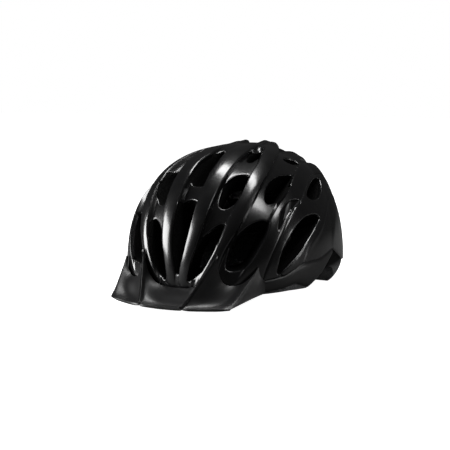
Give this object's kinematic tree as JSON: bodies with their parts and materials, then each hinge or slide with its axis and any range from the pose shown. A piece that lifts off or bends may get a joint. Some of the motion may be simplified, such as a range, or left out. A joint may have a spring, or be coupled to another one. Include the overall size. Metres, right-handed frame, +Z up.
{
  "type": "cycling helmet",
  "caption": "Vented bicycle helmet with a pull-off visor, foam liner, fit pads, dial-adjusted rear cradle and side-release chin buckle.",
  "frame": {"origin": "on the rest plane under the crown, at the centre of the head opening", "axes": "+Z up, -Y to the front of the helmet, +X to the wearer's left"},
  "size_m": [0.2068, 0.3084, 0.1502],
  "materials": {
    "gloss_shell": "glossy black moulded polycarbonate",
    "satin_shell": "satin charcoal moulded plastic",
    "foam": "dark bead foam with a fine granular face",
    "emblem": "dark grey faceted insert",
    "pad_fabric": "black brushed pad fabric over soft foam",
    "hook_tape": "black hook tape",
    "webbing": "black woven webbing",
    "hardware": "black acetal, lightly textured",
    "elastic": "black rubber",
    "cradle_plastic": "satin black nylon",
    "grip_rubber": "dark grey soft rubber",
    "steel": "plain steel"
  },
  "bodies": {
    "helmet": {"upper_shell": "gloss_shell", "lower_shell": "satin_shell", "foam_liner": "foam", "emblem_plates": "emblem", "visor_grommets": "hardware", "brow_pad": "pad_fabric", "crown_pad": "pad_fabric", "side_pad_left": "pad_fabric", "side_pad_right": "pad_fabric", "rear_pad_left": "pad_fabric", "rear_pad_right": "pad_fabric", "hook_discs": "hook_tape", "strap_anchors": "hardware", "front_strap_left": "webbing", "front_strap_right": "webbing", "rear_strap_left": "webbing", "rear_strap_right": "webbing", "chin_strap_left": "webbing", "chin_strap_right": "webbing", "strap_keeper": "elastic", "divider_left": "hardware", "divider_right": "hardware", "buckle_socket": "hardware", "temple_sockets": "hardware", "height_rail": "cradle_plastic"},
    "visor": {"visor": "satin_shell"},
    "cradle": {"cradle": "cradle_plastic", "cradle_pads": "pad_fabric", "dial_housing": "cradle_plastic", "housing_screws": "steel"},
    "dial": {"pinion_shaft": "cradle_plastic", "dial_knob": "cradle_plastic", "dial_grip": "grip_rubber", "detent_washer": "steel"},
    "left_belt": {"belt_left": "cradle_plastic"},
    "right_belt": {"belt_right": "cradle_plastic"},
    "left_cam": {"cam_lever_left": "hardware"},
    "right_cam": {"cam_lever_right": "hardware"},
    "plug": {"buckle_plug": "hardware"},
    "front_prong": {"buckle_prong_front": "hardware"},
    "rear_prong": {"buckle_prong_rear": "hardware"}
  },
  "joints": [
    {"name": "visor_pull", "type": "slide", "parent": "helmet", "child": "visor", "axis": [0, -1, 0], "range_m": [0, 0.05]},
    {"name": "cradle_tilt", "type": "hinge", "parent": "helmet", "child": "cradle", "pos_m": [0, -0.042, 0.027], "axis": [1, 0, 0], "range_deg": [-6, 5]},
    {"name": "dial_turn", "type": "hinge", "parent": "cradle", "child": "dial", "pos_m": [0, 0.1, 0.027], "axis": [0, -1, 0], "range_deg": [0, 144]},
    {"name": "left_belt_draw", "type": "hinge", "parent": "cradle", "child": "left_belt", "pos_m": [0, 0.022, 0.027], "axis": [0, 0, 1], "range_deg": [0, 8]},
    {"name": "right_belt_draw", "type": "hinge", "parent": "cradle", "child": "right_belt", "pos_m": [0, 0.022, 0.027], "axis": [0, 0, 1], "range_deg": [-8, 0]},
    {"name": "left_cam_flip", "type": "hinge", "parent": "helmet", "child": "left_cam", "pos_m": [0.05539, 0, 0.0798], "axis": [0, 1, 0], "range_deg": [0, 80]},
    {"name": "right_cam_flip", "type": "hinge", "parent": "helmet", "child": "right_cam", "pos_m": [-0.05539, 0, 0.0798], "axis": [0, -1, 0], "range_deg": [0, 80]},
    {"name": "plug_pull", "type": "slide", "parent": "helmet", "child": "plug", "axis": [-1, 0, 0], "range_m": [0, 0.014]},
    {"name": "rear_prong_squeeze", "type": "hinge", "parent": "plug", "child": "rear_prong", "pos_m": [-0.0032, 0.0082, 0.096], "axis": [0, 0, -1], "range_deg": [0, 5]},
    {"name": "front_prong_squeeze", "type": "hinge", "parent": "plug", "child": "front_prong", "pos_m": [-0.0032, -0.0082, 0.096], "axis": [0, 0, 1], "range_deg": [0, 5]}
  ],
  "couplings": [
    {"joint": "dial_turn", "follows": "left_belt_draw", "ratio": 18},
    {"joint": "right_belt_draw", "follows": "left_belt_draw", "ratio": -1},
    {"joint": "front_prong_squeeze", "follows": "rear_prong_squeeze", "ratio": 1}
  ]
}
